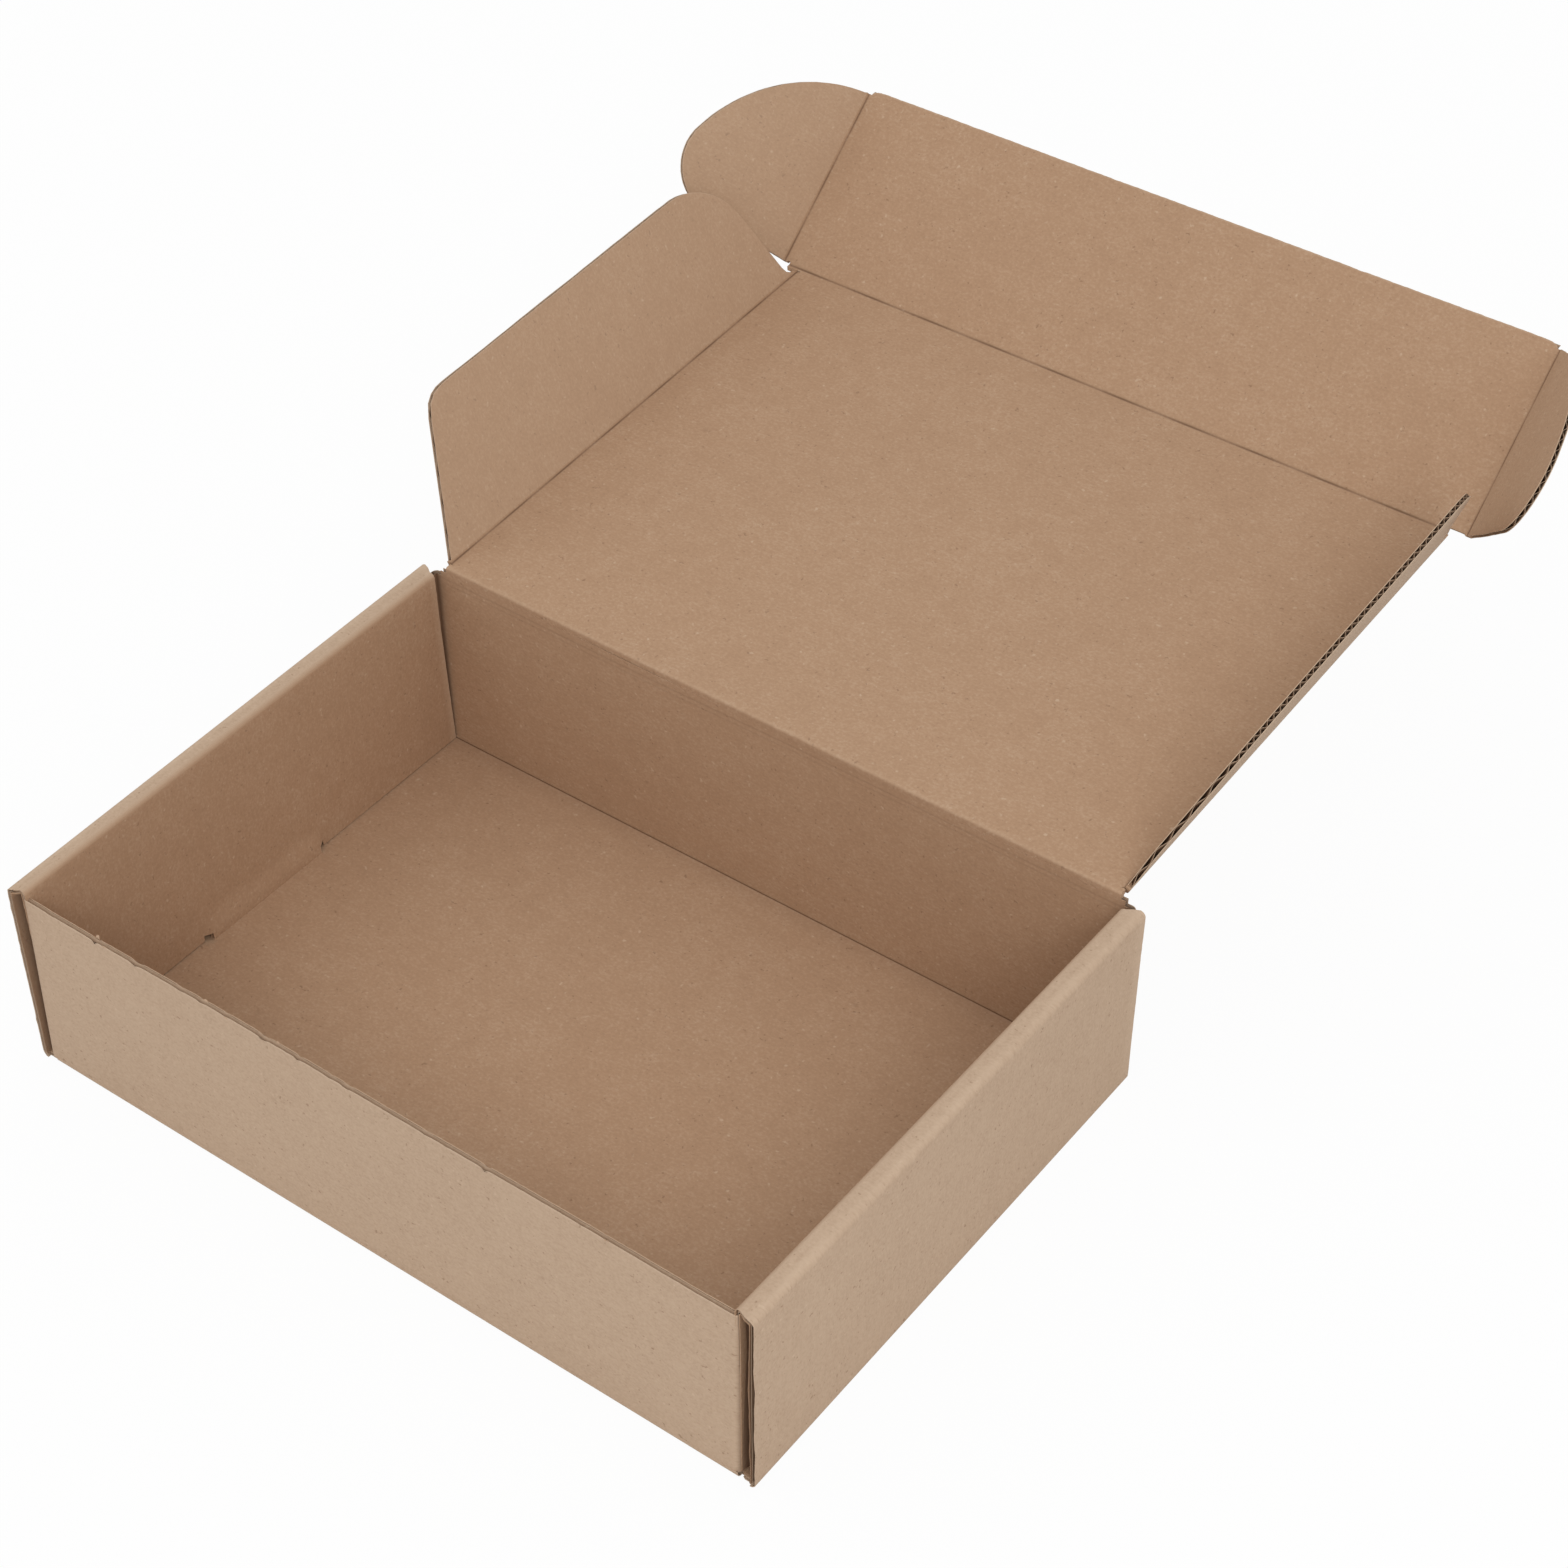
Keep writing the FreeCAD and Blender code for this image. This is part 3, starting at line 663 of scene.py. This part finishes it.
def earReach():
    small, large = ear["lowRound"], ear["highRound"]
    heel = np.array([ear["width"] - small, ear["low"] + small])
    top = np.array([0.0, ear["high"]])
    gap = np.linalg.norm(top - heel)
    along = (top - heel) / gap
    inner = large - small
    run = (inner ** 2 - large ** 2 + gap ** 2) / (2 * gap)
    rise = math.sqrt(inner ** 2 - run ** 2)
    middle = heel + along * run + np.array([-along[1], along[0]]) * rise
    switch = heel[1] + (heel - middle)[1] / inner * small
    def reach(v):
        a = heel[0] + np.sqrt(np.maximum(small ** 2 - (v - heel[1]) ** 2, 0))
        b = middle[0] + np.sqrt(np.maximum(large ** 2 - (v - middle[1]) ** 2, 0))
        return np.where(v < switch, a, b)
    return reach


lidBoard, frontBoard = Sheet("lidBoard"), Sheet("frontFlapBoard")
buildLid(lidBoard)
buildFrontFlap(frontBoard)
flaps = {}
for side, word in ((-1, "left"), (1, "right")):
    flaps["dust", word] = Sheet(f"dustFlapBoard_{word}")
    room = lid["creaseRoom"]
    slope = dustFlap["slant"] / dustFlap["height"]
    buildFlap(flaps["dust", word], side, placeDust(side), dustReach(), dustFlap["near"] + room * slope,
              lid["length"] - dustFlap["toe"][1] - room * 0.9, lid["dustCrease"], lidStart, 13.0 + side, 0.045,
              dustFlap["pale"][side])
    flaps["ear", word] = Sheet(f"lockEarBoard_{word}")
    buildFlap(flaps["ear", word], side, placeEar(side), earReach(), ear["low"], ear["high"] - 0.02,
              frontFlap["earCrease"], frontStart, 17.0 + side, 0.08, ear["pale"][side])
print("lid and flaps built")


# The pressed strip of board that joins two panels, bent between their bodies.
def creaseStrip(name, origin, along, reach, aWay, aUp, bWay, bUp, toBlank, scoreAndShade):
    room = lid["creaseRoom"]
    onward = -aWay
    turn = math.atan2(bWay @ aUp, bWay @ onward)
    way, up = np.array([math.cos(turn), math.sin(turn)]), np.array([-math.sin(turn), math.cos(turn)])
    share = np.linspace(0, 1, 15)
    rails = []
    for h in (halfThick, -halfThick):
        corner = (-h * math.tan(turn / 2), h)
        radius = halfThick if h * turn < 0 else 0.22
        rail = Path([(-room, h), corner, tuple(h * up + room * way)], [radius])
        rails.append(rail.read(share * rail.length, 0))
    ts = spread(*reach, 2.5)
    skins = []
    for x, y in rails:
        x, t = np.meshgrid(x, ts)
        y, t = np.meshgrid(y, ts)
        skins.append(inSpace(origin, (x, onward), (y, aUp), (t, along)))
    s, t = np.meshgrid((share * 2 - 1) * room, ts)
    sheet = Sheet(name)
    u, v = toBlank(s, t)
    line = scoreAndShade * bell(s, 0.5) * (0.8 + 0.2 * np.sin(t / 3.7))
    sheet.slab(skins[0], skins[1], np.dstack([u, v, 0 * u + 1]), line)
    strip = sheet.build([kraft, fluting])
    middle = origin + along * (reach[0] + reach[1]) / 2
    tuple((middle + aWay * room) * mm)
    tuple((middle + bWay * room) * mm)
    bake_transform(strip)


class Flow:       # a shader socket that can take part in sums and products
    def __init__(self, graph, socket):
        self.graph, self.socket = graph, socket

    def worked(self, operation, first, second, clamp=False):
        return self.graph.node("ShaderNodeMath", {"operation": operation, "use_clamp": clamp},
                               {0: first, 1: second})

    def __add__(self, other): return self.worked("ADD", self, other)
    def __radd__(self, other): return self.worked("ADD", other, self)
    def __sub__(self, other): return self.worked("SUBTRACT", self, other)
    def __rsub__(self, other): return self.worked("SUBTRACT", other, self)
    def __mul__(self, other): return self.worked("MULTIPLY", self, other)
    def __rmul__(self, other): return self.worked("MULTIPLY", other, self)
    def clamped(self): return self.worked("ADD", self, 0.0, True)


class Graph:      # the nodes of a material or of the world
    def __init__(self, owner):
        owner.use_nodes = True
        self.owner, self.tree = owner, owner.node_tree
        self.tree.nodes.clear()

    def node(self, kind, settings=None, sockets=None, out=0):
        made = self.tree.nodes.new(kind)
        for key, value in (settings or {}).items():
            setattr(made, key, value)
        for key, value in (sockets or {}).items():
            if isinstance(value, Flow):
                self.tree.links.new(value.socket, made.inputs[key])
            else:
                made.inputs[key].default_value = value
        return Flow(self, made.outputs[out]) if made.outputs else None

    def noise(self, vector, size, detail, rough, shift):     # size in millimetres
        away = (shift, shift * 1.7, shift * 0.6)
        moved = self.node("ShaderNodeVectorMath", {"operation": "ADD"}, {0: vector, 1: away})
        return self.node("ShaderNodeTexNoise", {}, {"Vector": moved, "Scale": 1 / size, "Detail": detail,
                                                    "Roughness": rough})

    def stretched(self, vector, amounts):
        return self.node("ShaderNodeVectorMath", {"operation": "MULTIPLY"}, {0: vector, 1: amounts})

    def mix(self, share, first, second, blend="MIX"):
        return self.node("ShaderNodeMix", {"data_type": "RGBA", "blend_type": blend},
                         {0: share, 6: first, 7: second}, 2)


paper = {
    "inner": (0.430, 0.270, 0.166, 1),
    "outer": (0.490, 0.352, 0.246, 1),
    "dark": (0.25, 0.145, 0.085, 1),
    "light": (0.62, 0.47, 0.34, 1),
    "scoreAndShade": (0.16, 0.088, 0.05, 1),
    "mottle": 0.10,
    "flecks": 0.6,
    "rough": 0.86,
    "bump": 0.35,
    "noises": {              # size, detail, roughness and shift
        "cloud": (26, 3, 0.55, 0.0),
        "patch": (5.5, 3, 0.6, 11),
        "grain": (1.0, 3, 0.7, 23),
        "fibre": (0.8, 2, 0.6, 37),
        "speck": (1.25, 1, 0.5, 51),
        "pale": (1.7, 1, 0.5, 67),
        "blot": (3.4, 1, 0.4, 83),
    },
}


def kraftMaterial(name, shade):
    g = Graph(bpy.data.materials.new(name))
    blank = g.node("ShaderNodeAttribute", {"attribute_name": "blank"}, out=1)
    tone = g.node("ShaderNodeAttribute", {"attribute_name": "tone"}, out=2)
    own = g.stretched(blank, (1, 1, 40))                 # the two faces differ
    noises = paper["noises"]
    cloud = g.noise(own, *noises["cloud"])
    patch = g.noise(own, *noises["patch"])
    grain = g.noise(g.stretched(own, (1.0, 1.25, 1)), *noises["grain"])
    fibre = g.noise(g.stretched(own, (0.45, 2.6, 1)), *noises["fibre"])
    speck = g.noise(own, *noises["speck"])
    pale = g.noise(own, *noises["pale"])
    blot = g.noise(own, *noises["blot"])
    overFlutes, layer = [g.node("ShaderNodeSeparateXYZ", {}, {0: blank}, axis) for axis in (1, 2)]
    wash = g.node("ShaderNodeMath", {"operation": "SINE"}, {0: overFlutes * (2 * math.pi / board["pitch"])})
    level = (cloud - 0.5) * 0.35 + (patch - 0.5) * 0.65 + (grain - 0.5) * 1.9 + (fibre - 0.5) * 0.5 + wash * 0.02
    up = (level * paper["mottle"] * 6).clamped()
    down = (level * paper["mottle"] * -6).clamped()
    inner = (layer * 0.5 + 0.5).clamped()
    colour = g.mix(inner, paper["outer"], paper["inner"])
    colour = g.mix(up, colour, paper["light"])
    colour = g.mix(down * 0.8, colour, paper["dark"])
    spots = ((speck - 0.70) * 12).clamped() * paper["flecks"] + ((blot - 0.76) * 9).clamped() * 0.3
    colour = g.mix(spots.clamped(), colour, paper["dark"])
    colour = g.mix(((pale - 0.70) * 10).clamped() * 0.45, colour, paper["light"])
    # tone above 0 darkens towards scoreAndShade: pressed score lines, and painted shade in corners, slots and
    # between the liners
    colour = g.mix(tone.clamped(), colour, paper["scoreAndShade"])
    colour = g.mix((tone * -1).clamped(), colour, paper["light"])
    colour = g.mix(1.0, colour, (shade, shade, shade, 1), "MULTIPLY")
    height = grain * 0.5 + fibre * 0.4 + patch * 0.5 + wash * 0.22
    bump = g.node("ShaderNodeBump", {}, {"Strength": paper["bump"], "Distance": 0.00012, "Height": height})
    shine = paper["rough"] + (patch - 0.5) * 0.12 - spots * 0.05
    shader = g.node("ShaderNodeBsdfPrincipled", {}, {"Base Color": colour, "Roughness": shine, "Normal": bump,
                                                    "IOR": 1.45, "Specular IOR Level": 0.25})
    g.node("ShaderNodeOutputMaterial", {}, {"Surface": shader})
    return g.owner


kraft = kraftMaterial("kraftLiner", 1.0)
# the fluting is made darker: partly its own darker paper, partly painted shade between the liners
fluting = kraftMaterial("kraftFluting", 0.8)
print("paper made")

dressed = [(trayBoard, "tray", ["tray"]), (lidBoard, "lid", ["lid_panel"]),
           (frontBoard, "front_flap", ["front_flap"])]
for word in ("left", "right"):
    dressed.append((flaps["dust", word], "dust_flap_" + word, ["dust_flap_" + word]))
    dressed.append((flaps["ear", word], "lock_ear_" + word, ["lock_ear_" + word]))
for sheet, body, nodes in dressed:
    piece = sheet.build([kraft, fluting])
    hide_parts(*nodes)
    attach(piece, body)
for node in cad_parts.values():
    node.data.materials.clear()
    node.data.materials.append(kraft)

crease = {
    "overrun": 3.9,              # how far the front one's left end runs on under the flap's shoulder
    "scores": {"lid": -0.15, "front": 0.95, "dust": 0.95, "ear": 0.85},      # dark above 0, light below
}
scores = crease["scores"]
down = np.array([0.0, -tray["rearLean"], -hinge[2]])
down /= np.linalg.norm(down)
wallIn = np.array([0.0, down[2], -down[1]])
creaseStrip("creaseLid", hinge, across, (-tray["crestHalf"], tray["crestHalf"]),
            down, wallIn, lidWay, lidUp, lambda s, t: (t, s + lidStart), scores["lid"])
frontReach = (-lid["dustCrease"] - crease["overrun"], lid["dustCrease"])
creaseStrip("creaseFront", frontHinge, across, frontReach,
            -lidWay, lidUp, frontWay, frontUp, lambda s, t: (t, s + frontStart), scores["front"])
for side, word in ((-1, "left"), (1, "right")):
    out = across * side
    near, far = dustFlap["angle"][side]
    turn = math.radians((near + far) / 2)
    creaseStrip("creaseDust_" + word, hinge + out * lid["dustCrease"], lidWay,
                (dustFlap["near"], lid["length"] - dustFlap["toe"][1]), -out, lidUp,
                out * math.cos(turn) + lidUp * math.sin(turn), lidUp * math.cos(turn) - out * math.sin(turn),
                lambda s, t: (side * (lid["dustCrease"] + s), t + lidStart), scores["dust"])
    turn = math.radians(ear["angle"])
    creaseStrip("creaseEar_" + word,
                frontHinge + out * frontFlap["earCrease"], frontWay, (ear["low"], ear["high"]), -out, frontUp,
                out * math.cos(turn) + frontUp * math.sin(turn), frontUp * math.cos(turn) - out * math.sin(turn),
                lambda s, t: (side * (frontFlap["earCrease"] + s), t + frontStart), scores["ear"])
print("creases bent")

camera = {
    "place": (0.42237, -0.46065, 0.66248),
    "forward": (-0.45127, 0.58999, -0.66953),
    "right": (0.80095, 0.5986, -0.01236),
    "lens": 77.17,
}


def makeCamera():
    data = bpy.data.cameras.new("camera")
    data.lens, data.sensor_width = camera["lens"], 36.0
    data.clip_start, data.clip_end = 0.05, 20.0
    eye = bpy.data.objects.new("camera", data)
    forward, right = Vector(camera["forward"]).normalized(), Vector(camera["right"]).normalized()
    up = right.cross(forward)
    turn = Matrix((right, up, -forward)).transposed()
    eye.matrix_world = Matrix.Translation(camera["place"]) @ turn.to_4x4()
    bpy.context.scene.collection.objects.link(eye)
    bpy.context.scene.camera = eye


lights = {
    "sky": 0.80,
    "key": {"at": (1.0, -0.95, 1.25), "size": 0.9, "power": 9.0},
    "fill": {"at": (-1.1, -0.2, 1.3), "size": 1.2, "power": 1.5},
    "aim": (0, 0.08, 0.03),
}


def seenRays(g):      # 1 for rays that meet the backdrop straight, in a reflection or through something clear
    straight = g.node("ShaderNodeLightPath", out="Is Camera Ray")
    glossy = g.node("ShaderNodeLightPath", out="Is Glossy Ray")
    clear = g.node("ShaderNodeLightPath", out="Is Transmission Ray")
    return (straight + glossy + clear).clamped()


def makeLights():
    bpy.context.scene.world = bpy.data.worlds.new("studio")
    g = Graph(bpy.context.scene.world)
    soft = g.node("ShaderNodeBackground", {}, {"Color": (1, 1, 1, 1), "Strength": lights["sky"]})
    plain = g.node("ShaderNodeBackground", {}, {"Color": (1, 1, 1, 1), "Strength": 1.0})
    both = g.node("ShaderNodeMixShader", {}, {0: seenRays(g), 1: soft, 2: plain})
    g.node("ShaderNodeOutputWorld", {}, {"Surface": both})
    for name in ("key", "fill"):
        spec = lights[name]
        lamp = bpy.data.lights.new(name, "AREA")
        lamp.shape, lamp.size, lamp.energy = "DISK", spec["size"], spec["power"]
        stand = bpy.data.objects.new(name, lamp)
        stand.location = spec["at"]
        stand.rotation_mode = "QUATERNION"
        stand.rotation_quaternion = (Vector(lights["aim"]) - Vector(spec["at"])).to_track_quat("-Z", "Y")
        bpy.context.scene.collection.objects.link(stand)


studioFloor = {"half": 6.0, "height": -0.0004, "colour": (0.82, 0.82, 0.82, 1), "glow": 0.95}      # in metres


def makeFloor():
    g = Graph(bpy.data.materials.new("paleFloor"))
    matte = g.node("ShaderNodeBsdfDiffuse", {}, {"Color": studioFloor["colour"]})
    glow = g.node("ShaderNodeEmission", {}, {"Color": (1, 1, 1, 1), "Strength": 1.0})
    both = g.node("ShaderNodeMixShader", {}, {0: seenRays(g) * studioFloor["glow"], 1: matte, 2: glow})
    g.node("ShaderNodeOutputMaterial", {}, {"Surface": both})
    mesh = bpy.data.meshes.new("studioFloor")
    half = studioFloor["half"]
    mesh.from_pydata([(-half, -half, 0), (half, -half, 0), (half, half, 0), (-half, half, 0)], [], [(0, 1, 2, 3)])
    mesh.materials.append(g.owner)
    floor = bpy.data.objects.new("studioFloor", mesh)
    floor.location.z = studioFloor["height"]
    bpy.context.scene.collection.objects.link(floor)


makeCamera()
makeLights()
makeFloor()
bpy.context.scene.view_settings.view_transform = "Standard"
print("studio ready")
